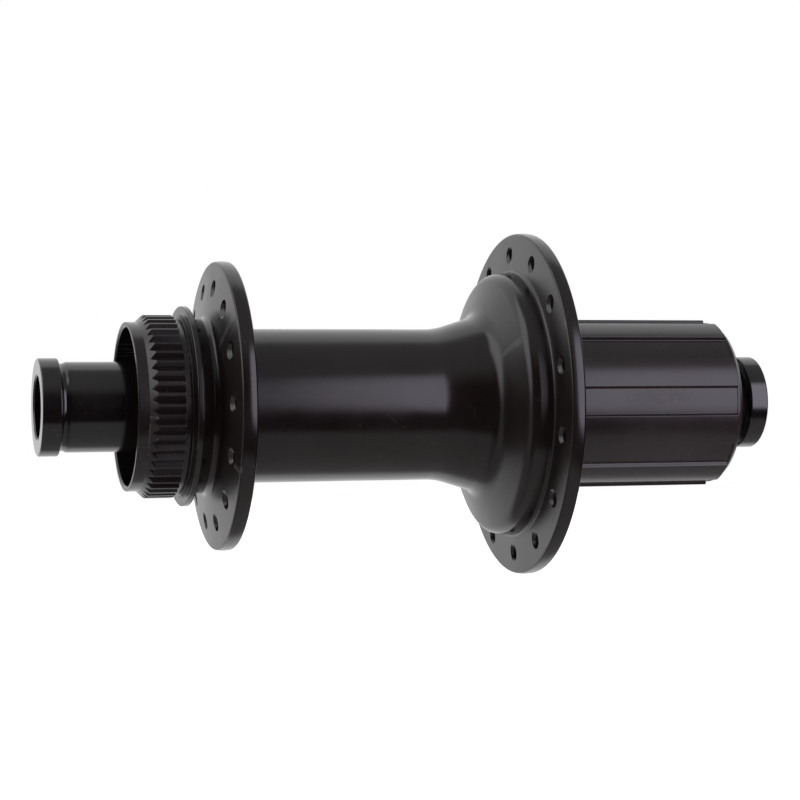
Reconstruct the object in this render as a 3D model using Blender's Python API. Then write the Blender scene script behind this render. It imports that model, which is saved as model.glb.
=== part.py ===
"""Bicycle rear hub, 12 mm thru-axle, 148 mm between the dropouts.

The frame: origin at the middle of the hub on its axis, +X along the axis to the drive side,
+Z up, metres. Lengths below are millimetres. An outline is a list of (x, radius) corners in
the half plane through the axis, and a corner with a third value is rounded to that radius.
A clock angle runs from -Y (0 degrees) over +Z (90 degrees), which is the driving direction.
"""

import math

import bmesh
import bpy
from mathutils import Matrix, Vector

MM = 0.001

# Driving dimensions of the whole hub.
OVER_LOCKNUT = 148.0
HALF_LENGTH = OVER_LOCKNUT / 2
SHELL_SIDES = 36
INNER_SIDES = 24
ARC_STEPS = 2

# Axle and end caps.
AXLE_RADIUS = 8.5
AXLE_BORE = 6.25
AXLE_SHOULDER = 9.7
AXLE_TIP = 7.3
CAP_BORE = 6.12
CAP_RING = 9.4
CAP_NECK = 8.68
CAP_SHOULDER = 9.3
CAP_SOCKET = 7.6
CAP_RING_LENGTH = 3.8
LEFT_CAP_SEAT = -46.1
RIGHT_CAP_SEAT = 56.6
STRAIGHT_NECK = [(70.2, 8.35), (69.4, 8.35), (69.1, CAP_NECK)]
CONICAL_NECK = [(70.2, 8.0), (69.9, 8.0), (66.2, CAP_SHOULDER), (61.0, CAP_SHOULDER), (60.4, CAP_NECK)]
TIP_END_LEFT = -59.5
TIP_END_RIGHT = 67.5
O_RING_FROM_TIP = 3.4

# Bearings: where each starts on the axis, its outer radius, its width and its ball count.
BEARINGS = {
    "left_hub": (-46.0, 15.0, 7.0, 8),
    "right_hub": (11.1, 15.0, 7.0, 8),
    "freehub_inner": (27.5, 13.0, 5.0, 9),
    "freehub_outer": (51.5, 13.0, 5.0, 9),
}
INNER_RACE_WALL = {15.0: 1.75, 13.0: 1.3}
OUTER_RACE_WALL = {15.0: 1.8, 13.0: 1.05}

# Hub shell.
TUBE_RADIUS = 15.03
TUBE_BORE = 13.3
SEAT_RADIUS = 15.05
FLANGE_LEFT = (-39.9, -37.0, 28.17)
FLANGE_RIGHT = (21.8, 24.6, 34.4)
FOOT_LEFT = (-41.7, 16.6, 1.0)
FOOT_RIGHT = (21.2, 26.45)
NECK_WIDE = 17.3
BELL_FOOT = (13.9, 17.7, 1.6)
SPOKE_HOLES = 14
SPOKE_HOLE_RADIUS = 1.3
SPOKE_CIRCLE_LEFT = 23.3
SPOKE_CIRCLE_RIGHT = 30.2
SPOKE_MIDDLE_LEFT = -39.0
SPOKE_MIDDLE_RIGHT = 23.0
SPOKE_CUTTER_LENGTH = 6.0
SPOKE_PHASE = 1.3
ROTOR_TEETH = 52
ROTOR_TOOTH_PHASE = 0.73
ROTOR_CREST = 17.68
ROTOR_VALLEY = 16.8
ROTOR_GROOVE_ENDS = (-55.4, -48.25)
ROTOR_CUTTER_TOP = 18.3
ROTOR_CUTTER_HALF_SHARE = 0.45
BOSS_END = -45.3
BOSS_GAP = 0.3
ROTOR_FACE = -46.5
RIM_RADIUS = 19.4
RIM_NECK = 17.45

# Ratchet.
RING_SEAT = 23.3
RING_OUTER = 23.0
RING_START, RING_END = 19.0, 26.0
RING_TEETH = 60
TOOTH_TIP = 20.0
TOOTH_ROOT = 20.9
TOOTH_LEAD_DEGREES = 0.95
PAWLS = 6
PAWL_PIVOT = 17.2
PAWL_START, PAWL_END = 20.0, 25.2
PAWL_ROUND = 1.5
PAWL_TIP = (6.6, 2.1)
PAWL_HEEL = (6.2, 0.9)
PAWL_PRESSED_DEGREES = 6.5

# Freehub body.
CREST_RADIUS = 17.05
GROOVE_RADIUS = 16.3
SPLINES = 9
GROOVE_DEGREES = 19.2
SPLINE_PHASE = 1.2
CASSETTE_STOP = 30.0
CREST_END = 63.9
CHAMFER_START = 64.4
BODY_END = 65.2
CARRIER_RADIUS = 19.55


def clear_scene():
    for thing in list(bpy.data.objects):
        bpy.data.objects.remove(thing, do_unlink=True)


def make_material(name, colour, roughness, metallic):
    material = bpy.data.materials.new(name)
    material.use_nodes = True
    shader = material.node_tree.nodes["Principled BSDF"]
    shader.inputs["Base Color"].default_value = (*colour, 1)
    shader.inputs["Roughness"].default_value = roughness
    shader.inputs["Metallic"].default_value = metallic
    return material


def arc_corner(before, corner, after, radius, steps):
    """The points of a rounded corner between two straight sides."""
    here = Vector(corner)
    one = (Vector(before) - here).normalized()
    two = (Vector(after) - here).normalized()
    half = one.angle(two) / 2
    reach = radius / math.tan(half)
    centre = here + (one + two).normalized() * (radius / math.sin(half))
    first = here + one * reach - centre
    last = here + two * reach - centre
    sweep = math.atan2(first.cross(last), first.dot(last))
    turns = [Matrix.Rotation(sweep * i / steps, 2) for i in range(steps + 1)]
    return [tuple(centre + turn @ first) for turn in turns]


def rounded(outline, steps=ARC_STEPS):
    corners = [point[:2] for point in outline]
    points = []
    for i, point in enumerate(outline):
        if len(point) == 2:
            points.append(point)
            continue
        after = corners[(i + 1) % len(corners)]
        points += arc_corner(corners[i - 1], point[:2], after, point[2], steps)
    return points


def add_object(name, mesh, material, smooth_degrees=30):
    mesh.materials.append(material)
    mesh.shade_smooth()
    mesh.set_sharp_from_angle(angle=math.radians(smooth_degrees))
    thing = bpy.data.objects.new(name, mesh)
    bpy.context.scene.collection.objects.link(thing)
    return thing


def mesh_from(name, bm):
    bmesh.ops.recalc_face_normals(bm, faces=bm.faces[:])
    mesh = bpy.data.meshes.new(name)
    bm.to_mesh(mesh)
    bm.free()
    return mesh


def turned_mesh(name, outline, sides):
    """A closed outline beside the axis, spun a full turn about it."""
    bm = bmesh.new()
    points = [bm.verts.new((x * MM, 0, radius * MM)) for x, radius in rounded(outline)]
    edges = [bm.edges.new((a, b)) for a, b in zip(points, points[1:] + points[:1])]
    bmesh.ops.spin(
        bm,
        geom=points + edges,
        cent=(0, 0, 0),
        axis=(1, 0, 0),
        angle=math.tau,
        steps=sides,
        use_merge=True,
    )
    return mesh_from(name, bm)


def turned(name, outline, material, sides=INNER_SIDES):
    return add_object(name, turned_mesh(name, outline, sides), material)


def clock_point(x, radius, clock_degrees):
    clock = math.radians(clock_degrees)
    return Vector((x, -radius * math.cos(clock), radius * math.sin(clock))) * MM


def add_prism(bm, corners, start, end):
    """A prism along X between two places, its corners given as (radius, clock degrees)."""
    face = bm.faces.new([bm.verts.new(clock_point(start, *corner)) for corner in corners])
    extruded = bmesh.ops.extrude_face_region(bm, geom=[face])["geom"]
    moved = [item for item in extruded if isinstance(item, bmesh.types.BMVert)]
    bmesh.ops.translate(bm, verts=moved, vec=((end - start) * MM, 0, 0))


def add_tangent_prism(bm, corners, start, end, frame):
    """A prism along X whose corners are (along the rim, outwards) in the given frame."""
    base = [bm.verts.new(frame @ Vector((start, along, out)) * MM) for along, out in corners]
    face = bm.faces.new(base)
    extruded = bmesh.ops.extrude_face_region(bm, geom=[face])["geom"]
    moved = [item for item in extruded if isinstance(item, bmesh.types.BMVert)]
    bmesh.ops.translate(bm, verts=moved, vec=((end - start) * MM, 0, 0))


def cutter(name, bm):
    thing = bpy.data.objects.new(name, mesh_from(name, bm))
    bpy.context.scene.collection.objects.link(thing)
    thing.hide_render = True
    thing.display_type = "WIRE"
    return thing


def combine(target, other, operation):
    modifier = target.modifiers.new(other.name, "BOOLEAN")
    modifier.operation = operation
    modifier.object = other
    modifier.solver = "EXACT"


def rim_frame(clock_degrees, radius):
    """The frame at a place on a circle: Y along the rim in the driving direction, Z outwards."""
    turn = Matrix.Rotation(math.radians(90 - clock_degrees), 4, "X")
    return turn @ Matrix.Translation((0, 0, radius))


def make_axle(metal):
    groove_left = TIP_END_LEFT + O_RING_FROM_TIP
    groove_right = TIP_END_RIGHT - O_RING_FROM_TIP
    outline = [
        (TIP_END_LEFT, AXLE_BORE),
        (TIP_END_LEFT, AXLE_TIP),
        (groove_left - 0.45, AXLE_TIP),
        (groove_left - 0.45, 6.75),
        (groove_left + 0.45, 6.75),
        (groove_left + 0.45, AXLE_TIP),
        (-45.9, AXLE_TIP),
        (-45.9, AXLE_RADIUS),
        (-38.9, AXLE_RADIUS),
        (-38.9, AXLE_SHOULDER),
        (11.0, AXLE_SHOULDER),
        (11.0, AXLE_RADIUS),
        (56.4, AXLE_RADIUS),
        (56.4, AXLE_TIP),
        (groove_right - 0.45, AXLE_TIP),
        (groove_right - 0.45, 6.75),
        (groove_right + 0.45, 6.75),
        (groove_right + 0.45, AXLE_TIP),
        (TIP_END_RIGHT, AXLE_TIP),
        (TIP_END_RIGHT, AXLE_BORE),
    ]
    turned("axle_tube", outline, metal)
    turned("inner_spacer", tube_outline(18.2, 27.4, 8.6, AXLE_SHOULDER), metal)
    turned("freehub_spacer", tube_outline(32.6, 51.4, 8.6, AXLE_SHOULDER), metal)


def tube_outline(start, end, inner, outer):
    return [(start, inner), (start, outer), (end, outer), (end, inner)]


def make_end_cap(name, side, seat, tip_end, neck, metal):
    """A cap that pushes over the axle's tip; side is -1 on the left and 1 on the right."""
    ring_back = HALF_LENGTH - CAP_RING_LENGTH
    floor = side * tip_end + 0.4
    ring = [(HALF_LENGTH, CAP_BORE + 0.3), (HALF_LENGTH, CAP_RING, 0.35), (ring_back, CAP_RING, 0.2)]
    inside = [
        (side * seat, CAP_NECK),
        (side * seat, CAP_SOCKET),
        (floor, CAP_SOCKET),
        (floor, CAP_BORE),
        (HALF_LENGTH - 0.3, CAP_BORE),
    ]
    turned(name, [(side * x, *rest) for x, *rest in ring + neck + inside], metal)


def make_o_ring(name, centre, rubber):
    radius, section = 7.13, 0.3
    steps = [math.tau * i / 6 for i in range(6)]
    outline = [(centre + section * math.cos(a), radius + section * math.sin(a)) for a in steps]
    turned(name, outline, rubber)


def make_bearing(name, steel, rubber, brass):
    start, outer, width, balls = BEARINGS[name]
    end, middle = start + width, start + width / 2
    bore = AXLE_RADIUS + 0.05
    inner_top = bore + INNER_RACE_WALL[outer]
    outer_low = outer - OUTER_RACE_WALL[outer]
    pitch = (inner_top + outer_low) / 2
    ball = (outer_low - inner_top) / 2 + 0.25
    groove = 0.4
    inner_race = [(start, bore), (start, inner_top), (middle, inner_top - groove)]
    inner_race += [(end, inner_top), (end, bore)]
    turned(name + "_inner_race", inner_race, steel)
    outer_race = [(start, outer), (end, outer), (end, outer_low)]
    outer_race += [(middle, outer_low + groove), (start, outer_low)]
    turned(name + "_outer_race", outer_race, steel, SHELL_SIDES)
    cage_half = 0.8
    cage = tube_outline(middle - cage_half, middle + cage_half, pitch - 0.45, pitch + 0.45)
    ball_set = turned(name + "_ball_set", cage, brass)
    bm = bmesh.new()
    for i in range(balls):
        place = Matrix.Translation(clock_point(middle, pitch, 360 / balls * i))
        stand = Matrix.Rotation(math.pi / 2, 4, "Y")
        bmesh.ops.create_uvsphere(
            bm, u_segments=6, v_segments=3, radius=(ball - 0.12) * MM, matrix=place @ stand
        )
    combine(ball_set, cutter(name + "_balls", bm), "UNION")
    for side, face in (("left", start + 0.15), ("right", end - 0.65)):
        seal = tube_outline(face, face + 0.5, inner_top + 0.15, outer_low - 0.15)
        turned(f"{name}_{side}_seal", seal, rubber)


def boss_outline():
    lip = [(-57.2, 15.6), (-57.2, 16.33, 0.2), (-55.1, 16.33), (-53.6, ROTOR_CREST)]
    teeth = [(-48.3, ROTOR_CREST), (-48.2, 16.7), (-47.3, 16.7), (-47.1, RIM_NECK)]
    relief = [(ROTOR_FACE + 0.15, RIM_NECK), (ROTOR_FACE, ROTOR_CREST + 0.12)]
    rim = [(ROTOR_FACE, RIM_RADIUS, 0.25), (BOSS_END, RIM_RADIUS, 0.25), (BOSS_END, SEAT_RADIUS)]
    lockring = [(-47.2, SEAT_RADIUS), (-47.4, 15.25), (-56.8, 15.25)]
    return lip + teeth + relief + rim + lockring


def shell_outline():
    left_in, left_out, left_top = FLANGE_LEFT
    right_in, right_out, right_top = FLANGE_RIGHT
    start = BOSS_END + BOSS_GAP
    flange = [(start, SEAT_RADIUS), (start, NECK_WIDE), FOOT_LEFT]
    flange += [(left_in, left_top, 0.4), (left_out, left_top, 0.4), (left_out, TUBE_RADIUS, 0.6)]
    bell = [(5.1, TUBE_RADIUS), (12.9, 17.3, 1.0), BELL_FOOT, (16.7, FOOT_RIGHT[1], 2.6), FOOT_RIGHT]
    drive = [(right_in, right_top, 0.4), (right_out, right_top, 0.4), (right_out, 25.2)]
    boss_right = [(27.6, 25.2, 0.3), (27.6, RING_SEAT), (18.7, RING_SEAT)]
    seats = [(18.7, SEAT_RADIUS), (11.0, SEAT_RADIUS), (11.0, TUBE_BORE), (-38.9, TUBE_BORE)]
    return flange + bell + drive + boss_right + seats + [(-38.9, SEAT_RADIUS)]


def make_shell(metal):
    """The toothed boss and the rest of the shell are one piece of metal, modelled as two solids."""
    boss = turned("rotor_boss", boss_outline(), metal, SHELL_SIDES)
    shell = turned("hub_shell", shell_outline(), metal, SHELL_SIDES)
    splines = bmesh.new()
    pitch = 360 / ROTOR_TEETH
    half = ROTOR_CUTTER_HALF_SHARE * pitch
    for i in range(ROTOR_TEETH):
        clock = ROTOR_TOOTH_PHASE + pitch * (i + 0.5)
        corners = [(ROTOR_VALLEY, clock), (ROTOR_CUTTER_TOP, clock + half), (ROTOR_CUTTER_TOP, clock - half)]
        add_prism(splines, corners, *ROTOR_GROOVE_ENDS)
    combine(boss, cutter("rotor_spline_cutters", splines), "DIFFERENCE")
    holes = bmesh.new()
    step = 360 / SPOKE_HOLES
    sides = (
        (SPOKE_MIDDLE_LEFT, SPOKE_CIRCLE_LEFT, SPOKE_PHASE),
        (SPOKE_MIDDLE_RIGHT, SPOKE_CIRCLE_RIGHT, SPOKE_PHASE + step / 2),
    )
    for x, circle, phase in sides:
        for i in range(SPOKE_HOLES):
            place = Matrix.Translation(clock_point(x, circle, phase + step * i))
            bmesh.ops.create_cone(
                holes,
                cap_ends=True,
                segments=8,
                radius1=SPOKE_HOLE_RADIUS * MM,
                radius2=SPOKE_HOLE_RADIUS * MM,
                depth=SPOKE_CUTTER_LENGTH * MM,
                matrix=place @ Matrix.Rotation(math.pi / 2, 4, "Y"),
            )
    combine(shell, cutter("spoke_hole_cutters", holes), "DIFFERENCE")


def pawl_clock(index):
    """Every second pawl stands half a tooth further on, so three engage at a time."""
    half_tooth = 180 / RING_TEETH
    return 360 / PAWLS * index + (half_tooth if index % 2 else 0)


def make_drive_ring(steel):
    ring = turned("drive_ring", tube_outline(RING_START, RING_END, 18.0, RING_OUTER), steel)
    tip_along, tip_out = PAWL_TIP
    tip_clock = math.degrees(math.atan2(tip_along, PAWL_PIVOT + tip_out))
    pitch = 360 / RING_TEETH
    first = pawl_clock(0) + tip_clock + TOOTH_LEAD_DEGREES
    corners = []
    for i in range(RING_TEETH):
        corners.append((TOOTH_TIP, first + pitch * i))
        corners.append((TOOTH_ROOT, first + pitch * i + 5.7))
    bm = bmesh.new()
    add_prism(bm, corners, RING_START - 1, RING_END + 1)
    combine(ring, cutter("ratchet_tooth_cutter", bm), "DIFFERENCE")


def pawl_outline():
    turns = [math.radians(90 + 36 * i) for i in range(6)]
    back = [(PAWL_ROUND * math.cos(a), PAWL_ROUND * math.sin(a)) for a in turns]
    return back + [PAWL_HEEL, PAWL_TIP]


def spring_outline():
    """A thin leaf that stands on the pocket floor and reaches up under the pawl."""
    low = [(1.9, -1.45), (3.5, -1.35), (5.3, -0.68)]
    return low + [(along, out + 0.28) for along, out in reversed(low)]


def make_pawls(steel, spring_steel):
    """Pressed in just clear of the teeth, as they pass over them when the wheel coasts."""
    middle = (PAWL_START + PAWL_END) / 2
    half = (PAWL_END - PAWL_START) / 2
    for i in range(PAWLS):
        name = f"pawl_{i + 1}"
        clock = pawl_clock(i)
        bm = bmesh.new()
        add_tangent_prism(bm, pawl_outline(), -half, half, Matrix.Identity(4))
        pawl = add_object(name, mesh_from(name, bm), steel)
        pawl.location = clock_point(middle, PAWL_PIVOT, clock)
        pawl.rotation_euler.x = math.radians(90 - clock - PAWL_PRESSED_DEGREES)
        bm = bmesh.new()
        frame = rim_frame(clock, PAWL_PIVOT)
        add_tangent_prism(bm, spring_outline(), PAWL_START + 0.8, PAWL_END - 0.8, frame)
        add_object(f"pawl_spring_{i + 1}", mesh_from(name, bm), spring_steel)


def freehub_outline():
    carrier = [(18.9, 13.05), (18.9, CARRIER_RADIUS), (26.1, CARRIER_RADIUS), (26.1, 17.4)]
    collar = [(28.3, 17.4), (28.3, 18.5, 0.2), (CASSETTE_STOP, 18.5, 0.2)]
    crest = [(CASSETTE_STOP, CREST_RADIUS), (CREST_END, CREST_RADIUS, 0.2)]
    end = [(CREST_END, 16.4), (CHAMFER_START, 16.4), (BODY_END, 15.7), (BODY_END, 15.1)]
    thread = [(57.8, 15.1), (57.8, 13.05), (57.4, 13.05), (57.4, 13.6), (56.65, 13.6)]
    bore = [(56.65, 13.05), (51.4, 13.05), (51.4, 11.9), (32.6, 11.9), (32.6, 13.05)]
    return carrier + collar + crest + end + thread + bore


def pawl_pocket():
    turns = [math.radians(180 + 30 * i) for i in range(4)]
    socket = [(1.75 * math.cos(a), 1.75 * math.sin(a)) for a in turns]
    return [(-1.75, 3.2)] + socket + [(7.6, -1.75), (7.6, 4.0)]


def make_freehub(metal, rubber, spring_steel):
    body = turned("freehub_body", freehub_outline(), metal, SHELL_SIDES)
    grooves = bmesh.new()
    half = GROOVE_DEGREES / 2
    for i in range(SPLINES):
        clock = SPLINE_PHASE + 360 / SPLINES * i
        floor = [(GROOVE_RADIUS, clock + half * j) for j in (-1, 0, 1)]
        top = [(18.0, clock + half * j) for j in (1, 0, -1)]
        add_prism(grooves, floor + top, CASSETTE_STOP, CREST_END)
    combine(body, cutter("spline_groove_cutters", grooves), "DIFFERENCE")
    pockets = bmesh.new()
    for i in range(PAWLS):
        frame = rim_frame(pawl_clock(i), PAWL_PIVOT)
        add_tangent_prism(pockets, pawl_pocket(), PAWL_START - 0.3, PAWL_END + 0.3, frame)
    combine(body, cutter("pawl_pocket_cutters", pockets), "DIFFERENCE")
    seal = [(26.5, 17.5), (26.5, 20.6), (26.2, 22.9), (26.9, 22.9), (27.4, 20.6), (27.4, 17.5)]
    turned("freehub_seal", seal, rubber, SHELL_SIDES)
    clip = turned("circlip", tube_outline(56.75, 57.25, 12.2, 13.4), spring_steel)
    gap = bmesh.new()
    add_prism(gap, [(9.0, 80), (15.0, 80), (15.0, 100), (9.0, 100)], 56.0, 58.0)
    combine(clip, cutter("circlip_gap_cutter", gap), "DIFFERENCE")


def main():
    clear_scene()
    anodised = make_material("black_anodised_aluminium", (0.012, 0.011, 0.013), 0.34, 1.0)
    raw_metal = make_material("raw_aluminium", (0.55, 0.55, 0.56), 0.35, 1.0)
    steel = make_material("bearing_steel", (0.45, 0.45, 0.46), 0.22, 1.0)
    tool_steel = make_material("tool_steel", (0.2, 0.2, 0.21), 0.4, 1.0)
    spring_steel = make_material("spring_steel", (0.3, 0.3, 0.32), 0.3, 1.0)
    brass = make_material("cage_brass", (0.6, 0.42, 0.15), 0.35, 1.0)
    rubber = make_material("black_rubber", (0.01, 0.01, 0.01), 0.7, 0.0)
    make_axle(raw_metal)
    make_end_cap("left_end_cap", -1, LEFT_CAP_SEAT, TIP_END_LEFT, STRAIGHT_NECK, anodised)
    make_end_cap("right_end_cap", 1, RIGHT_CAP_SEAT, TIP_END_RIGHT, CONICAL_NECK, anodised)
    make_o_ring("left_cap_o_ring", TIP_END_LEFT + O_RING_FROM_TIP, rubber)
    make_o_ring("right_cap_o_ring", TIP_END_RIGHT - O_RING_FROM_TIP, rubber)
    for name in BEARINGS:
        make_bearing(name, steel, rubber, brass)
    make_shell(anodised)
    make_drive_ring(tool_steel)
    make_freehub(anodised, rubber, spring_steel)
    make_pawls(tool_steel, spring_steel)


main()
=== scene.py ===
"""Bicycle rear hub, the looks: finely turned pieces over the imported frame, their materials, light and camera.

Lengths in the outlines are millimetres. An outline is a list of (x, radius) corners beside the
axis, and a corner with a third value is rounded to that radius. A clock angle runs from -Y
(0 degrees) over +Z (90 degrees).
"""

import math

import bmesh
import bpy
import numpy as np
from mathutils import Matrix, Vector


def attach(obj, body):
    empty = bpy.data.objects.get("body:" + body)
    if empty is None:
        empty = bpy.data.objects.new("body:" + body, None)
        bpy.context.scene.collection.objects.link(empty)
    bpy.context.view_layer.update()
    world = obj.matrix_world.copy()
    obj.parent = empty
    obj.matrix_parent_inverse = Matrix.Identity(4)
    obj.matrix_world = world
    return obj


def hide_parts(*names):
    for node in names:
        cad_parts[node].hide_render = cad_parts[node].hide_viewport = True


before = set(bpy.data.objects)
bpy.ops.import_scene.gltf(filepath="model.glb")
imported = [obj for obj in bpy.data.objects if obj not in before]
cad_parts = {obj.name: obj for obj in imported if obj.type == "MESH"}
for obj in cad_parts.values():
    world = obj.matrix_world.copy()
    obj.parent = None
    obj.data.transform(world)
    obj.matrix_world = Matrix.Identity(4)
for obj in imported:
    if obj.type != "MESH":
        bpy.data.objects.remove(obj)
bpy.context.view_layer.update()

MM = 0.001
ARC_STEPS = 6
EDGE = 0.1
SUPPORT = 0.05
STRAIGHT_HALF = 88.5
MOST_REACH, MOST_SUPPORT = 0.42, 0.45
SHARP_DEGREES = 33
TURNED_SIDES = 192

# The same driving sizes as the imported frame.
HALF_LENGTH = 74.0
AXLE_RADIUS, AXLE_BORE, AXLE_SHOULDER, AXLE_TIP = 8.5, 6.25, 9.7, 7.3
CAP_BORE, CAP_RING, CAP_NECK, CAP_SOCKET, CAP_RING_LENGTH = 6.12, 9.4, 8.68, 7.6, 3.8
TIP_END_LEFT, TIP_END_RIGHT = -59.5, 67.5
O_RING_LEFT, O_RING_RIGHT = -56.1, 64.1
BEARINGS = {
    "left_hub": (-46.0, 15.0, 7.0, 8, 1.75, 1.8),
    "right_hub": (11.1, 15.0, 7.0, 8, 1.75, 1.8),
    "freehub_inner": (27.5, 13.0, 5.0, 9, 1.3, 1.05),
    "freehub_outer": (51.5, 13.0, 5.0, 9, 1.3, 1.05),
}
ROTOR_TEETH, ROTOR_PHASE, ROTOR_CREST, ROTOR_VALLEY = 52, 0.73, 17.68, 16.8
TUBE_RADIUS, BEARING_SEAT, TUBE_BORE = 15.03, 15.05, 13.3
LEFT_FLANGE, LEFT_RIM, LEFT_RIM_EDGE = (-39.9, -37.0), 28.17, 28.03
RIGHT_FLANGE, RIGHT_RIM, RIGHT_RIM_EDGE = (21.8, 24.6), 34.4, 34.26
SPOKE_HOLES, SPOKE_HOLE_RADIUS, SPOKE_PHASE, HOLE_SIDES = 14, 1.3, 1.3, 32
SPOKE_CIRCLE_LEFT, SPOKE_CIRCLE_RIGHT = 23.3, 30.2
RING_TEETH, TOOTH_TIP, TOOTH_ROOT, TOOTH_RAMP, TOOTH_LEAD = 60, 20.0, 20.9, 5.7, 0.95
RING_START, RING_END, RING_SEAT = 19.0, 26.0, 23.3
PAWLS, PAWL_PIVOT, PAWL_PRESSED, PAWL_MIDDLE, PAWL_HALF = 6, 17.2, 6.5, 22.6, 2.6
PAWL_ROUND, PAWL_HEEL, PAWL_TIP, POCKET_ROUND = 1.5, (6.2, 0.9), (6.6, 2.1), 1.75
SPLINES, SPLINE_PHASE, GROOVE_HALF, GROOVE_RADIUS = 9, 1.2, 9.6, 16.3
CASSETTE_STOP, CREST_RADIUS, CREST_END, CARRIER_RADIUS = 30.0, 17.05, 63.9, 19.55
FREEHUB_SEAT, FREEHUB_BORE, BODY_BORE = 13.05, 11.9, 15.1
THREADS, THREAD_PITCH, THREAD_DEPTH = 7, 0.8, 0.06
SPACER_BORE, O_RING_HALF, O_RING_FLOOR = 8.6, 0.45, 6.75


# ---------------------------------------------------------------- shapes


def rounded(outline, edge=EDGE, steps=ARC_STEPS):
    """The outline with every corner rounded a little, and a close row beside each rounding."""
    corners = [np.array(point[:2], float) for point in outline]
    points = []
    for i, point in enumerate(outline):
        here, before, after = corners[i], corners[i - 1], corners[(i + 1) % len(corners)]
        one, two = before - here, after - here
        reach_one, reach_two = np.linalg.norm(one), np.linalg.norm(two)
        one, two = one / reach_one, two / reach_two
        half = math.acos(max(-1.0, min(1.0, float(one @ two)))) / 2
        if half > math.radians(STRAIGHT_HALF):
            points.append(here)
            continue
        radius = point[2] if len(point) == 3 else edge
        reach = min(radius / math.tan(half), MOST_REACH * min(reach_one, reach_two))
        radius = reach * math.tan(half)
        middle = (one + two) / np.linalg.norm(one + two)
        centre = here + middle * (radius / math.sin(half))
        first, last = here + one * reach - centre, here + two * reach - centre
        sweep = math.atan2(first[0] * last[1] - first[1] * last[0], float(first @ last))
        if MOST_SUPPORT * reach_one > reach + SUPPORT:
            points.append(here + one * (reach + SUPPORT))
        for k in range(steps + 1):
            c, s = math.cos(sweep * k / steps), math.sin(sweep * k / steps)
            points.append(centre + np.array([c * first[0] - s * first[1], s * first[0] + c * first[1]]))
        if MOST_SUPPORT * reach_two > reach + SUPPORT:
            points.append(here + two * (reach + SUPPORT))
    return points


def shade(mesh):
    mesh.shade_smooth()
    mesh.set_sharp_from_angle(angle=math.radians(SHARP_DEGREES))


def finish_mesh(name, mesh, material, body, nodes=()):
    mesh.materials.append(material)
    shade(mesh)
    thing = bpy.data.objects.new(name, mesh)
    bpy.context.scene.collection.objects.link(thing)
    if nodes:
        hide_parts(*nodes)
    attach(thing, body)
    return thing


def grid_mesh(name, xs, radii, clocks):
    """A closed ring of quads: a row for each outline point and a column for each clock angle."""
    rows, columns = radii.shape
    turn = np.radians(clocks)[None, :]
    places = np.stack(
        [np.repeat(xs[:, None], columns, 1), -radii * np.cos(turn), radii * np.sin(turn)], -1
    )
    i, j = np.meshgrid(np.arange(rows), np.arange(columns), indexing="ij")
    down, along = (i + 1) % rows, (j + 1) % columns
    corners = [i * columns + j, down * columns + j, down * columns + along, i * columns + along]
    quads = np.stack(corners, -1).reshape(-1, 4)
    mesh = bpy.data.meshes.new(name)
    mesh.vertices.add(rows * columns)
    mesh.vertices.foreach_set("co", (places * MM).astype(np.float32).ravel())
    mesh.loops.add(quads.size)
    mesh.loops.foreach_set("vertex_index", quads.astype(np.int32).ravel())
    mesh.polygons.add(len(quads))
    mesh.polygons.foreach_set("loop_start", np.arange(0, quads.size, 4, dtype=np.int32))
    mesh.update(calc_edges=True)
    return mesh


def turned_mesh(name, outline, clocks, cut=None, edge=EDGE):
    points = np.array(rounded(outline, edge))
    x, r = points[:, 0], points[:, 1]
    if (x * np.roll(r, -1) - r * np.roll(x, -1)).sum() > 0:
        points = points[::-1]
    xs, radii = points[:, 0], np.repeat(points[:, 1][:, None], len(clocks), 1)
    if cut is not None:
        radii = cut(xs[:, None], radii, np.asarray(clocks)[None, :])
    return grid_mesh(name, xs, radii, np.asarray(clocks))


def even_clocks(count):
    return np.arange(count) * 360.0 / count


def repeated_clocks(count, phase, offsets):
    pitch = 360.0 / count
    return np.concatenate([phase + pitch * i + np.asarray(offsets) for i in range(count)])


def turned(
    name, outline, material, body, nodes=(),
    sides=TURNED_SIDES, cut=None, clocks=None, edge=EDGE,
):
    """A turned piece: its outline swept round the axis, then cut by a rule where one is given."""
    clocks = even_clocks(sides) if clocks is None else clocks
    mesh = turned_mesh(name, outline, clocks, cut, edge)
    return finish_mesh(name, mesh, material, body, nodes)


def tube(start, end, inner, outer):
    return [(start, inner), (start, outer), (end, outer), (end, inner)]


def clock_point(x, radius, clock_degrees):
    clock = math.radians(clock_degrees)
    return Vector((x, -radius * math.cos(clock), radius * math.sin(clock))) * MM


def rim_frame(clock_degrees, radius):
    turn = Matrix.Rotation(math.radians(90 - clock_degrees), 4, "X")
    return turn @ Matrix.Translation((0, 0, radius * MM))


def prism_mesh(name, corners, start, end, place, bevel=0.0):
    """A prism along X from (along, out) corners, its edges bevelled."""
    bm = bmesh.new()
    base = [bm.verts.new(Vector((start, along, out)) * MM) for along, out in corners]
    extruded = bmesh.ops.extrude_face_region(bm, geom=[bm.faces.new(base)])["geom"]
    moved = [item for item in extruded if isinstance(item, bmesh.types.BMVert)]
    bmesh.ops.translate(bm, verts=moved, vec=((end - start) * MM, 0, 0))
    if bevel:
        edges = [e for e in bm.edges if e.calc_face_angle(0) > math.radians(25)]
        bmesh.ops.bevel(bm, geom=edges, offset=bevel * MM, segments=3, affect="EDGES")
    bmesh.ops.transform(bm, matrix=place, verts=bm.verts[:])
    bmesh.ops.recalc_face_normals(bm, faces=bm.faces[:])
    mesh = bpy.data.meshes.new(name)
    bm.to_mesh(mesh)
    bm.free()
    return mesh


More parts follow.
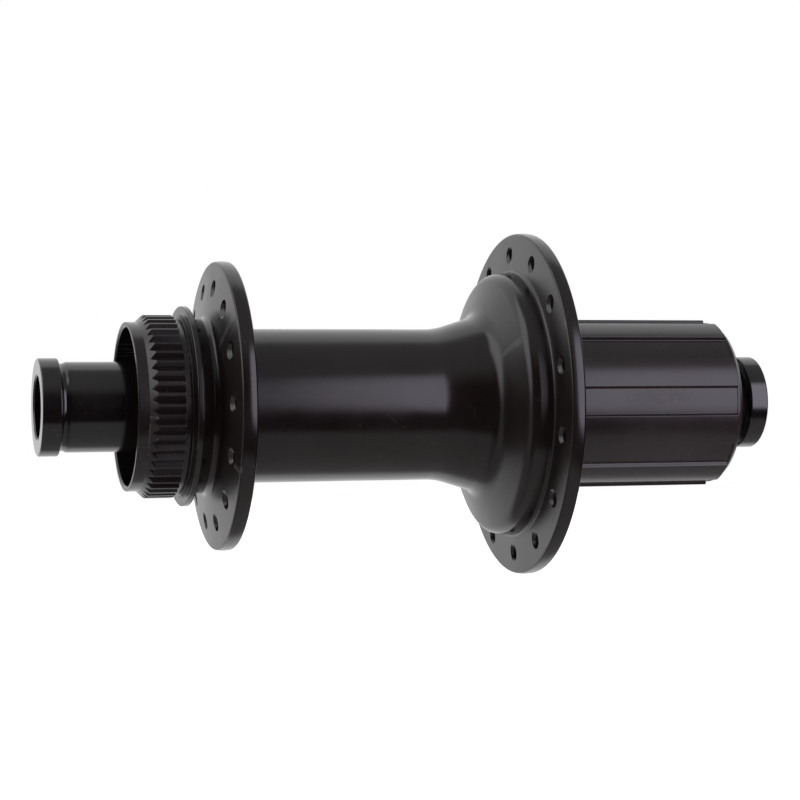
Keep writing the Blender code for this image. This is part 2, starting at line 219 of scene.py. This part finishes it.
def cut_away(target, cutter_meshes):
    """Cuts each mesh from the target and keeps the result as its mesh."""
    bm = bmesh.new()
    for mesh in cutter_meshes:
        bm.from_mesh(mesh)
    joined = bpy.data.meshes.new("cutters")
    bm.to_mesh(joined)
    bm.free()
    cutter = bpy.data.objects.new("cutters", joined)
    bpy.context.scene.collection.objects.link(cutter)
    modifier = target.modifiers.new("cut", "BOOLEAN")
    modifier.operation, modifier.object, modifier.solver = "DIFFERENCE", cutter, "EXACT"
    bpy.context.view_layer.update()
    graph = bpy.context.evaluated_depsgraph_get()
    result = bpy.data.meshes.new_from_object(target.evaluated_get(graph), depsgraph=graph)
    target.modifiers.clear()
    target.data = result
    shade(result)
    bpy.data.objects.remove(cutter, do_unlink=True)


# ---------------------------------------------------------------- materials


class Nodes:
    """Short names for adding and linking shader nodes."""

    def __init__(self, tree):
        self.tree = tree

    def add(self, kind, inputs=None, **settings):
        node = self.tree.nodes.new(kind)
        for key, value in settings.items():
            setattr(node, key, value)
        for key, value in (inputs or {}).items():
            self.feed(node.inputs[key], value)
        return node

    def feed(self, socket, value):
        if isinstance(value, bpy.types.NodeSocket):
            self.tree.links.new(value, socket)
        else:
            socket.default_value = value

    def math(self, operation, a, b=0.0, c=0.0):
        return self.add("ShaderNodeMath", {0: a, 1: b, 2: c}, operation=operation).outputs[0]

    def vector(self, operation, a, b=(0.0, 0.0, 0.0)):
        return self.add("ShaderNodeVectorMath", {0: a, 1: b}, operation=operation).outputs[0]

    def length(self, vector):
        return self.add("ShaderNodeVectorMath", {0: vector}, operation="LENGTH").outputs["Value"]

    def step(self, value, low, high, to_low=0.0, to_high=1.0):
        inputs = {"Value": value, "From Min": low, "From Max": high}
        inputs.update({"To Min": to_low, "To Max": to_high})
        return self.add("ShaderNodeMapRange", inputs, interpolation_type="SMOOTHSTEP").outputs[0]

    def noise(self, vector, scale, detail=4.0, rough=0.5):
        inputs = {"Vector": vector, "Scale": scale, "Detail": detail, "Roughness": rough}
        return self.add("ShaderNodeTexNoise", inputs).outputs["Fac"]

    def mix(self, factor, a, b):
        node = self.add("ShaderNodeMix", data_type="RGBA")
        for socket, value in ((node.inputs[0], factor), (node.inputs[6], a), (node.inputs[7], b)):
            self.feed(socket, value)
        return node.outputs[2]


def new_material(name):
    material = bpy.data.materials.new(name)
    material.use_nodes = True
    n = Nodes(material.node_tree)
    shader = material.node_tree.nodes["Principled BSDF"]
    place = n.add("ShaderNodeTexCoord").outputs["Object"]
    split = n.add("ShaderNodeSeparateXYZ", {0: place})
    flat = n.add("ShaderNodeCombineXYZ", {1: split.outputs[1], 2: split.outputs[2]}).outputs[0]
    rings = n.add("ShaderNodeCombineXYZ", {0: split.outputs[0], 1: n.length(flat)}).outputs[0]
    return material, n, shader, place, rings


DUST_COLOUR = (0.32, 0.30, 0.28, 1)
WORN_COLOUR = (0.16, 0.15, 0.15, 1)
SCUFF_COLOUR = (0.040, 0.035, 0.034, 1)
SCUFF_STRETCH = (0.45, 1.0, 1.5)
SCUFF_REACH, SCUFF_CORE = 0.0042, 0.0012


def finish_surface(
    name, dark, light, roughness, metallic, ring_depth, grain_depth,
    ior=1.5, dust=0.0, wear=0.0, face_rough=0.0, scuff=None,
):
    """A turned, finely grained surface: rings from the tool, a grain, uneven gloss, dust and worn edges.

    Faces across the axis can be rougher, and one scuffed place can be given.
    """
    material, n, shader, place, rings = new_material(name)
    patches = n.noise(place, 90.0, 5.0)
    streaks = n.noise(rings, 2600.0, 3.0)
    grain = n.noise(place, 9000.0, 2.0)
    tone = n.math("MULTIPLY_ADD", streaks, 0.35, n.math("MULTIPLY", patches, 0.65))
    colour = n.mix(n.step(tone, 0.32, 0.68), (*dark, 1), (*light, 1))
    if dust:
        specks = n.add("ShaderNodeTexVoronoi", {"Vector": place, "Scale": 1500.0}).outputs["Distance"]
        here = n.math("MULTIPLY", n.step(specks, 0.13, 0.05), n.step(n.noise(place, 420.0), 0.55, 0.66))
        colour = n.mix(n.math("MULTIPLY", here, dust), colour, DUST_COLOUR)
    if wear:
        bend = n.add("ShaderNodeNewGeometry").outputs["Pointiness"]
        broken = n.step(n.noise(place, 700.0), 0.35, 0.6, 0.35, 1.0)
        worn = n.math("MULTIPLY", n.step(bend, 0.52, 0.60), broken)
        colour = n.mix(n.math("MULTIPLY", worn, wear), colour, WORN_COLOUR)
    normal = n.add("ShaderNodeNewGeometry").outputs["Normal"]
    facing = n.math("ABSOLUTE", n.add("ShaderNodeSeparateXYZ", {0: normal}).outputs[0])
    faced = n.math("MULTIPLY", n.step(facing, 0.55, 0.95), face_rough)
    uneven = n.math("MULTIPLY_ADD", grain, 0.06, roughness - 0.11)
    uneven = n.math("ADD", n.math("MULTIPLY_ADD", patches, 0.16, uneven), faced)
    if scuff:
        gap = n.vector("MULTIPLY", n.vector("SUBTRACT", place, scuff), SCUFF_STRETCH)
        near = n.step(n.length(gap), SCUFF_REACH, SCUFF_CORE)
        rubbed = n.math("MULTIPLY", near, n.step(n.noise(place, 900.0, 3.0, 0.6), 0.2, 0.8))
        colour = n.mix(n.math("MULTIPLY", rubbed, 0.3), colour, SCUFF_COLOUR)
        uneven = n.math("MULTIPLY_ADD", rubbed, 0.12, uneven)
    n.feed(shader.inputs["Base Color"], colour)
    n.feed(shader.inputs["Roughness"], uneven)
    shader.inputs["Metallic"].default_value = metallic
    shader.inputs["IOR"].default_value = ior
    normal = None
    for height, depth in ((streaks, ring_depth), (grain, grain_depth)):
        bump = n.add("ShaderNodeBump", {"Height": height, "Strength": 1.0, "Distance": depth * MM})
        if normal:
            n.feed(bump.inputs["Normal"], normal)
        normal = bump.outputs[0]
    n.feed(shader.inputs["Normal"], normal)
    return material


anodised = finish_surface(
    "shell_anodised", (0.0064, 0.0040, 0.0040), (0.0100, 0.0064, 0.0064), 0.18, 0.0, 0.0003, 0.00035,
    dust=0.5, wear=0.22, face_rough=0.13,
)
freehub_anodised = finish_surface(
    "freehub_anodised", (0.0120, 0.0082, 0.0088), (0.0170, 0.0118, 0.0126), 0.23, 0.0, 0.0004, 0.00040,
    dust=0.6, wear=0.30, scuff=(0.0480, -0.0169, 0.0012),
)
cap_anodised = finish_surface(
    "cap_anodised", (0.0042, 0.0030, 0.0030), (0.0070, 0.0050, 0.0050), 0.13, 0.0, 0.0003, 0.00030,
    ior=1.6, dust=0.5, wear=0.25,
)
raw_metal = finish_surface(
    "raw_aluminium", (0.50, 0.50, 0.51), (0.66, 0.66, 0.67), 0.34, 1.0, 0.0022, 0.0006)
race_steel = finish_surface(
    "ground_steel", (0.42, 0.42, 0.43), (0.56, 0.56, 0.57), 0.22, 1.0, 0.0008, 0.0003)
tool_steel = finish_surface(
    "tool_steel", (0.13, 0.13, 0.14), (0.24, 0.24, 0.25), 0.38, 1.0, 0.0014, 0.0010)
blue_spring = finish_surface(
    "spring_steel", (0.20, 0.20, 0.23), (0.34, 0.34, 0.37), 0.3, 1.0, 0.0010, 0.0005)
ball_steel = finish_surface(
    "ball_set_steel", (0.50, 0.50, 0.50), (0.64, 0.64, 0.64), 0.14, 1.0, 0.0003, 0.0003)
seal_rubber = finish_surface(
    "seal_rubber", (0.010, 0.010, 0.011), (0.020, 0.020, 0.021), 0.55, 0.0, 0.002, 0.004)
black_rubber = finish_surface(
    "black_rubber", (0.008, 0.008, 0.008), (0.016, 0.016, 0.016), 0.62, 0.0, 0.001, 0.004)


# ---------------------------------------------------------------- hub shell

# The toothed boss is turned with a column at each corner of every tooth.
boss = [(-57.2, 15.6), (-57.2, 16.33, 0.2), (-55.1, 16.33), (-53.6, ROTOR_CREST, 0.15)]
boss += [(-48.3, ROTOR_CREST, 0.08), (-48.2, 16.7), (-47.3, 16.7), (-47.1, 17.45), (-46.35, 17.45)]
boss += [(-46.5, 17.8), (-46.5, 19.4, 0.25), (-45.3, 19.4, 0.25), (-45.3, 16.0), (-45.3, BEARING_SEAT)]
boss += [(-47.2, BEARING_SEAT), (-47.4, 15.25), (-56.9, 15.3, 0.05)]

TOOTH_PITCH = 360 / ROTOR_TEETH
GROOVE_REACH = 0.39 * TOOTH_PITCH


def rotor_grooves(xs, radii, clocks):
    """V grooves that run out on the cone at one end and at the relief groove at the other."""
    from_valley = np.abs((clocks - ROTOR_PHASE) % TOOTH_PITCH - TOOTH_PITCH / 2)
    groove = ROTOR_VALLEY + (ROTOR_CREST - ROTOR_VALLEY) * from_valley / GROOVE_REACH
    groove = np.where(from_valley >= GROOVE_REACH, 99.0, np.maximum(groove, ROTOR_VALLEY + 0.04))
    inside = (xs > -55.4) & (xs < -48.25) & (radii > 16.0)
    return np.where(inside, np.minimum(radii, groove), radii)


tooth_corners = []
for valley_side in (-1, 1):
    for share in (0.02, 0.25, 0.5, 0.75, 0.96, 1.0, 1.06):
        tooth_corners.append(TOOTH_PITCH / 2 + valley_side * share * GROOVE_REACH)
tooth_corners = sorted(tooth_corners + [0.0])
boss_clocks = repeated_clocks(ROTOR_TEETH, ROTOR_PHASE, tooth_corners)


def with_rows(outline, low, high, count):
    """Adds corners along the straight stretch between two given places, so a cut can follow it."""
    rows = []
    for i, point in enumerate(outline):
        rows.append(point)
        after = outline[(i + 1) % len(outline)]
        if math.isclose(point[0], low) and math.isclose(after[0], high):
            for k in range(1, count):
                share = k / count
                rows.append((low + (high - low) * share, point[1] + (after[1] - point[1]) * share))
    return rows


boss = with_rows(boss, -55.1, -53.6, 14)
turned("rotor_boss_fine", boss, anodised, "shell", ["rotor_boss"],
       clocks=boss_clocks, cut=rotor_grooves, edge=0.06)

body = [(-45.0, BEARING_SEAT), (-45.0, 17.3), (-41.7, 16.6, 1.5), (LEFT_FLANGE[0], LEFT_RIM_EDGE, 0.5)]
body += [(-38.45, LEFT_RIM, 7.0), (LEFT_FLANGE[1], LEFT_RIM_EDGE, 0.5), (LEFT_FLANGE[1], TUBE_RADIUS, 0.9)]
body += [(5.1, TUBE_RADIUS, 14.0), (13.6, 17.7, 4.0), (16.7, 26.15, 2.6), (21.2, 26.45, 0.8)]
body += [(RIGHT_FLANGE[0], RIGHT_RIM_EDGE, 0.5), (23.2, RIGHT_RIM, 7.0)]
body += [(RIGHT_FLANGE[1], RIGHT_RIM_EDGE, 0.5), (RIGHT_FLANGE[1], 25.2), (27.6, 25.2, 0.3)]
body += [(27.6, RING_SEAT), (18.7, RING_SEAT), (18.7, BEARING_SEAT), (11.0, BEARING_SEAT)]
body += [(11.0, TUBE_BORE), (-38.9, TUBE_BORE), (-38.9, BEARING_SEAT)]
shell_body = turned("hub_shell_body", body, anodised, "shell", ["hub_shell"], sides=288)


def spoke_cutter(x_low, x_high, circle, clock):
    """A hole with a flared mouth at each face."""
    flare, over = 0.48, 0.7
    stops = [
        (x_low - over, SPOKE_HOLE_RADIUS + flare + over), (x_low + flare, SPOKE_HOLE_RADIUS),
        (x_high - flare, SPOKE_HOLE_RADIUS), (x_high + over, SPOKE_HOLE_RADIUS + flare + over),
    ]
    bm = bmesh.new()
    middle = clock_point(0, circle, clock)
    turns = [math.tau * k / HOLE_SIDES for k in range(HOLE_SIDES)]
    loops = []
    for x, radius in stops:
        places = [Vector((x, radius * math.cos(a), radius * math.sin(a))) for a in turns]
        loops.append([bm.verts.new(middle + place * MM) for place in places])
    for one, two in zip(loops, loops[1:]):
        for k in range(HOLE_SIDES):
            after = (k + 1) % HOLE_SIDES
            bm.faces.new((one[k], one[after], two[after], two[k]))
    bm.faces.new(loops[0])
    bm.faces.new(loops[-1])
    bmesh.ops.recalc_face_normals(bm, faces=bm.faces[:])
    mesh = bpy.data.meshes.new("spoke_cutter")
    bm.to_mesh(mesh)
    bm.free()
    return mesh


# A hole runs from where the flange's sloping face crosses the spoke circle to its flat face.
hole_step = 360 / SPOKE_HOLES
cutters = []
for low, high, circle, shift in (
    (-40.66, LEFT_FLANGE[1], SPOKE_CIRCLE_LEFT, 0.0),
    (21.49, RIGHT_FLANGE[1], SPOKE_CIRCLE_RIGHT, 0.5),
):
    for i in range(SPOKE_HOLES):
        cutters.append(spoke_cutter(low, high, circle, SPOKE_PHASE + hole_step * (i + shift)))
cut_away(shell_body, cutters)

# ---------------------------------------------------------------- ratchet

first_tooth = math.degrees(math.atan2(PAWL_TIP[0], PAWL_PIVOT + PAWL_TIP[1])) + TOOTH_LEAD
tooth_step = 360 / RING_TEETH


def ratchet_teeth(xs, radii, clocks):
    """Saw teeth on the bore: a long ramp outwards, then a short step back."""
    along = (clocks - first_tooth) % tooth_step
    ramp = np.where(along < TOOTH_RAMP, along / TOOTH_RAMP, (tooth_step - along) / (tooth_step - TOOTH_RAMP))
    return np.where(radii < 21.5, TOOTH_TIP + (TOOTH_ROOT - TOOTH_TIP) * ramp, radii)


turned("drive_ring_teeth", tube(RING_START, RING_END, 20.0, 23.0), tool_steel, "shell",
       ["drive_ring"], cut=ratchet_teeth,
       clocks=repeated_clocks(RING_TEETH, first_tooth, [0.0, 1.9, 3.8, TOOTH_RAMP]))


def arc(radius, first, step, count):
    turns = [math.radians(first + step * i) for i in range(count)]
    return [(radius * math.cos(a), radius * math.sin(a)) for a in turns]


pawl_corners = arc(PAWL_ROUND, 90, 15, 13) + [PAWL_HEEL, PAWL_TIP]
leaf_low = [(1.9, -1.45), (2.7, -1.42), (3.5, -1.35), (4.4, -1.08), (5.3, -0.68)]
leaf_corners = leaf_low + [(along, out + 0.28) for along, out in reversed(leaf_low)]
pocket_corners = [(-POCKET_ROUND, 3.2)] + arc(POCKET_ROUND, 180, 15, 7) + [(7.6, -POCKET_ROUND), (7.6, 4.0)]
pawl_clocks = [360 / PAWLS * i + (180 / RING_TEETH if i % 2 else 0) for i in range(PAWLS)]
for i, clock in enumerate(pawl_clocks):
    place = rim_frame(clock, PAWL_PIVOT)
    pressed = place @ Matrix.Rotation(math.radians(-PAWL_PRESSED), 4, "X")
    start, end = PAWL_MIDDLE - PAWL_HALF, PAWL_MIDDLE + PAWL_HALF
    shape = prism_mesh("pawl", pawl_corners, start, end, pressed, 0.08)
    pawl = f"pawl_{i + 1}"
    finish_mesh(f"ratchet_{pawl}", shape, tool_steel, pawl, [pawl])
    shape = prism_mesh("leaf", leaf_corners, 20.8, 24.4, place, 0.04)
    finish_mesh(f"ratchet_leaf_{i + 1}", shape, blue_spring, "freehub",
                [f"pawl_spring_{i + 1}"])

# ---------------------------------------------------------------- freehub body

freehub = [(18.9, FREEHUB_SEAT), (18.9, CARRIER_RADIUS), (26.1, CARRIER_RADIUS), (26.1, 17.4), (28.3, 17.4)]
freehub += [(28.3, 18.5, 0.2), (CASSETTE_STOP, 18.5, 0.2), (CASSETTE_STOP, CREST_RADIUS, 0.04)]
freehub += [(CREST_END, CREST_RADIUS, 0.15), (CREST_END, 16.4, 0.05)]
freehub += [(64.4, 16.4), (65.2, 15.7, 0.08), (65.2, BODY_BORE, 0.08)]
for k in range(THREADS):
    thread = 64.2 - THREAD_PITCH * k
    freehub += [(thread, BODY_BORE, 0.02), (thread - THREAD_PITCH / 2, BODY_BORE + THREAD_DEPTH, 0.02)]
freehub += [(57.8, BODY_BORE), (57.8, FREEHUB_SEAT), (57.4, FREEHUB_SEAT), (57.4, 13.6), (56.65, 13.6)]
freehub += [(56.65, FREEHUB_SEAT), (51.4, FREEHUB_SEAT), (51.4, FREEHUB_BORE), (32.6, FREEHUB_BORE)]
freehub += [(32.6, FREEHUB_SEAT)]
freehub = [point for i, point in enumerate(freehub) if point[:2] != freehub[i - 1][:2]]


def spline_grooves(xs, radii, clocks):
    pitch = 360 / SPLINES
    away = np.abs((clocks - SPLINE_PHASE + pitch / 2) % pitch - pitch / 2)
    inside = (xs > CASSETTE_STOP - 0.001) & (xs < CREST_END + 0.001) & (radii > GROOVE_RADIUS)
    share = np.clip((away - GROOVE_HALF + 0.75) / 1.3, 0, 1)
    share = share * share * (3 - 2 * share)
    return np.where(inside, np.minimum(radii, GROOVE_RADIUS + (radii - GROOVE_RADIUS) * share), radii)


# Columns stand close together at a groove's two edges and further apart between them.
edges = [-GROOVE_HALF + shift for shift in (-0.85, -0.55, -0.4, -0.2, 0.0, 0.1, 0.2, 0.4, 0.6, 0.75, 1.1)]
crest = [-20 + 1.25 * k for k in range(8)]
floor_columns = [-7.5, -5, -2.5, 0, 2.5, 5, 7.5]
spline_offsets = crest + edges + floor_columns + [-c for c in edges] + [-c for c in crest[1:]]
spline_offsets = sorted(set(spline_offsets))
freehub_body = turned("freehub_body_fine", freehub, freehub_anodised, "freehub", ["freehub_body"],
                      cut=spline_grooves, edge=0.06,
                      clocks=repeated_clocks(SPLINES, SPLINE_PHASE, spline_offsets))
pockets = [prism_mesh("pocket", pocket_corners, 19.7, 25.5, rim_frame(c, PAWL_PIVOT)) for c in pawl_clocks]
cut_away(freehub_body, pockets)
seal = [(26.5, 17.5), (26.5, 20.6), (26.2, 22.9, 0.15), (26.9, 22.9, 0.15), (27.4, 20.6), (27.4, 17.5)]
turned("freehub_lip_seal", seal, black_rubber, "freehub", ["freehub_seal"])
clip = turned("bearing_circlip", tube(56.75, 57.25, 12.2, 13.4), blue_spring, "freehub",
              ["circlip"], edge=0.05)
gap = [(-1.95, 8.0), (-2.3, 15.5), (2.3, 15.5), (1.95, 8.0)]
cut_away(clip, [prism_mesh("gap", gap, 56.0, 58.0, rim_frame(90, 0))])

# ---------------------------------------------------------------- axle, caps, bearings

def o_ring_groove(centre):
    start, end = centre - O_RING_HALF, centre + O_RING_HALF
    return [(start, AXLE_TIP), (start, O_RING_FLOOR), (end, O_RING_FLOOR), (end, AXLE_TIP)]


axle = [(TIP_END_LEFT, AXLE_BORE), (TIP_END_LEFT, AXLE_TIP, 0.2)] + o_ring_groove(O_RING_LEFT)
axle += [(-45.9, AXLE_TIP), (-45.9, AXLE_RADIUS), (-38.9, AXLE_RADIUS), (-38.9, AXLE_SHOULDER)]
axle += [(11.0, AXLE_SHOULDER), (11.0, AXLE_RADIUS), (56.4, AXLE_RADIUS), (56.4, AXLE_TIP)]
axle += o_ring_groove(O_RING_RIGHT) + [(TIP_END_RIGHT, AXLE_TIP, 0.2), (TIP_END_RIGHT, AXLE_BORE)]
turned("axle_tube_fine", axle, raw_metal, "axle", ["axle_tube"])
for name, start, end in (("inner_spacer", 18.2, 27.4), ("freehub_spacer", 32.6, 51.4)):
    spacer = tube(start, end, SPACER_BORE, AXLE_SHOULDER)
    turned(f"{name}_fine", spacer, raw_metal, "axle", [name])

straight = [(70.2, 8.8), (69.9, 8.42, 0.6), (69.3, 8.36, 0.6), (68.6, CAP_NECK, 2.0)]
conical = [(70.2, 8.0, 0.05), (69.9, 8.0), (66.2, 9.3, 0.3), (61.0, 9.3), (60.4, CAP_NECK)]
for name, side, seat, tip, where, neck in (
    ("left", -1, -46.1, TIP_END_LEFT, "left_cap", straight),
    ("right", 1, 56.6, TIP_END_RIGHT, "right_cap", conical),
):
    ring_back = HALF_LENGTH - CAP_RING_LENGTH
    floor = side * tip + 0.4
    cap = [(HALF_LENGTH, CAP_BORE + 0.3), (HALF_LENGTH, CAP_RING, 0.35), (ring_back, CAP_RING, 0.25)]
    cap += neck
    cap += [
        (side * seat, CAP_NECK), (side * seat, CAP_SOCKET), (floor, CAP_SOCKET), (floor, CAP_BORE),
        (HALF_LENGTH - 0.3, CAP_BORE, 0.05),
    ]
    cap = [(side * x, *rest) for x, *rest in cap]
    turned(f"{name}_cap_fine", cap, cap_anodised, where, [f"{name}_end_cap"], sides=256)
for name, centre in (("left", O_RING_LEFT), ("right", O_RING_RIGHT)):
    steps = [math.tau * i / 16 for i in range(16)]
    ring = [(centre + 0.3 * math.cos(a), 7.13 + 0.3 * math.sin(a)) for a in steps]
    turned(f"{name}_o_ring_fine", ring, black_rubber, "axle", [f"{name}_cap_o_ring"])

for name, (start, outer, width, balls, inner_wall, outer_wall) in BEARINGS.items():
    holder = "shell" if name.endswith("hub") else "freehub"
    end, middle, bore = start + width, start + width / 2, AXLE_RADIUS + 0.05
    top, under = bore + inner_wall, outer - outer_wall
    pitch, ball = (top + under) / 2, (under - top) / 2 + 0.25
    race = [(start, bore, 0.2), (start, top), (middle, top - 0.4, 1.2), (end, top), (end, bore, 0.2)]
    turned(f"{name}_inner_race_fine", race, race_steel, "axle", [f"{name}_inner_race"])
    race = [(start, outer, 0.3), (end, outer, 0.3), (end, under), (middle, under + 0.4, 1.2), (start, under)]
    turned(f"{name}_outer_race_fine", race, race_steel, holder, [f"{name}_outer_race"])
    bm = bmesh.new()
    cage = tube(middle - 0.8, middle + 0.8, pitch - 0.45, pitch + 0.45)
    bm.from_mesh(turned_mesh("cage", cage, even_clocks(96)))
    for i in range(balls):
        place = Matrix.Translation(clock_point(middle, pitch, 360 / balls * i))
        bmesh.ops.create_icosphere(bm, subdivisions=3, radius=(ball - 0.12) * MM, matrix=place)
    shape = bpy.data.meshes.new("balls")
    bm.to_mesh(shape)
    bm.free()
    finish_mesh(f"{name}_ball_set_fine", shape, ball_steel, f"{name}_balls",
                [f"{name}_ball_set"])
    for side, face in (("left", start + 0.15), ("right", end - 0.65)):
        shield = tube(face, face + 0.5, top + 0.15, under - 0.15)
        turned(f"{name}_{side}_seal_fine", shield, seal_rubber, holder, [f"{name}_{side}_seal"])

# ---------------------------------------------------------------- light, floor, camera

VIEW_DEGREES, ROLL_DEGREES = 16.25, -0.41
CAMERA_PLACE, SENSOR_WIDTH, LENS = (-0.1249, -0.4217, 0.000925), 36.0, 99.1
SOFTBOX_COLOUR = (2.6, 2.45, 2.9, 1)
SOFTBOX_CENTRE, SOFTBOX_HALF = 0.48, 0.24
FLOOR_REACH, FLOOR_DEPTH = 4.0, -0.2

world = bpy.data.worlds.new("studio")
bpy.context.scene.world = world
world.use_nodes = True
n = Nodes(world.node_tree)
way = n.add("ShaderNodeSeparateXYZ", {0: n.add("ShaderNodeTexCoord").outputs["Generated"]})
sideways = way.outputs[0]
ahead = n.math("MULTIPLY", way.outputs[1], -1.0)
azimuth = n.math("MULTIPLY", n.math("ARCTAN2", sideways, ahead), 180 / math.pi)
elevation = n.math("MULTIPLY", n.math("ARCSINE", way.outputs[2]), 180 / math.pi)

# White behind; dark in front, with a paler ceiling and floor and a panel at the left.
further_back = n.step(elevation, 8.0, -8.0, 0.0, 0.27)
front = n.step(n.math("ADD", ahead, further_back), -0.40, -0.22)
near_level = n.step(n.math("ABSOLUTE", elevation), 75.0, 55.0)
left_panel = n.math("MULTIPLY", n.step(azimuth, -52.0, -70.0), near_level)
left_light = n.step(elevation, -4.0, 24.0, 0.3, 2.0)
ceiling = n.math("MULTIPLY", n.step(elevation, 22.0, 54.0), 0.36)
ground_level = n.step(sideways, -0.55, -0.18, 0.17, 0.34)
ground = n.math("MULTIPLY", n.step(elevation, -33.0, -44.0), ground_level)
in_front = n.math("ADD", n.math("MAXIMUM", ceiling, ground), 0.006)
in_front = n.math("MAXIMUM", in_front, n.math("MULTIPLY", left_panel, left_light))
plain = n.math("ADD", n.math("MULTIPLY", in_front, front), n.math("SUBTRACT", 1.0, front))
plain = n.add("ShaderNodeCombineColor", {0: plain, 1: plain, 2: plain}).outputs[0]

# One softbox in front at the right, lower further to the right.
across = n.math("DIVIDE", n.math("SUBTRACT", sideways, SOFTBOX_CENTRE), SOFTBOX_HALF)
across = n.math("POWER", n.math("ABSOLUTE", across), 4.0)
middle = n.math("MULTIPLY_ADD", sideways, -20.0, 22.5)
upward = n.math("DIVIDE", n.math("SUBTRACT", elevation, middle), 28.0)
upward = n.math("POWER", n.math("ABSOLUTE", upward), 3.0)
softbox = n.step(n.math("ADD", across, upward), 1.55, 0.5)
softbox = n.math("MULTIPLY", softbox, n.step(ahead, 0.0, 0.15))
backdrop = n.add("ShaderNodeLightPath").outputs["Is Camera Ray"]
shown = n.mix(backdrop, n.mix(softbox, plain, SOFTBOX_COLOUR), (1, 1, 1, 1))
n.feed(world.node_tree.nodes["Background"].inputs["Color"], shown)

floor_material = bpy.data.materials.new("pale_floor")
floor_material.use_nodes = True
n = Nodes(floor_material.node_tree)
floor_shader = floor_material.node_tree.nodes["Principled BSDF"]
tone = n.step(n.noise(n.add("ShaderNodeTexCoord").outputs["Object"], 3.0), 0.3, 0.7)
n.feed(floor_shader.inputs["Base Color"], n.mix(tone, (0.90, 0.90, 0.90, 1), (0.93, 0.93, 0.93, 1)))
floor_shader.inputs["Roughness"].default_value = 0.9
floor_shader.inputs["Emission Color"].default_value = (1, 1, 1, 1)
floor_shader.inputs["Emission Strength"].default_value = 0.6
floor_mesh = bpy.data.meshes.new("floor")
floor_corners = [(x * FLOOR_REACH, y * FLOOR_REACH, 0) for x, y in ((-1, -1), (1, -1), (1, 1), (-1, 1))]
floor_mesh.from_pydata(floor_corners, [], [(0, 1, 2, 3)])
floor_mesh.materials.append(floor_material)
ground_plane = bpy.data.objects.new("floor", floor_mesh)
ground_plane.location.z = FLOOR_DEPTH
ground_plane.visible_glossy = False
bpy.context.scene.collection.objects.link(ground_plane)

camera = bpy.data.cameras.new("camera")
camera.sensor_width, camera.lens = SENSOR_WIDTH, LENS
camera.clip_start, camera.clip_end = 0.01, 50.0
stand = bpy.data.objects.new("camera", camera)
stand.location = CAMERA_PLACE
ahead_way = Vector((math.sin(math.radians(VIEW_DEGREES)), math.cos(math.radians(VIEW_DEGREES)), 0))
level = ahead_way.to_track_quat("-Z", "Y").to_matrix().to_4x4()
stand.rotation_mode = "QUATERNION"
roll = Matrix.Rotation(math.radians(ROLL_DEGREES), 4, "Z")
stand.rotation_quaternion = (level @ roll).to_quaternion()
bpy.context.scene.collection.objects.link(stand)
bpy.context.scene.camera = stand
bpy.context.scene.view_settings.view_transform = "Standard"
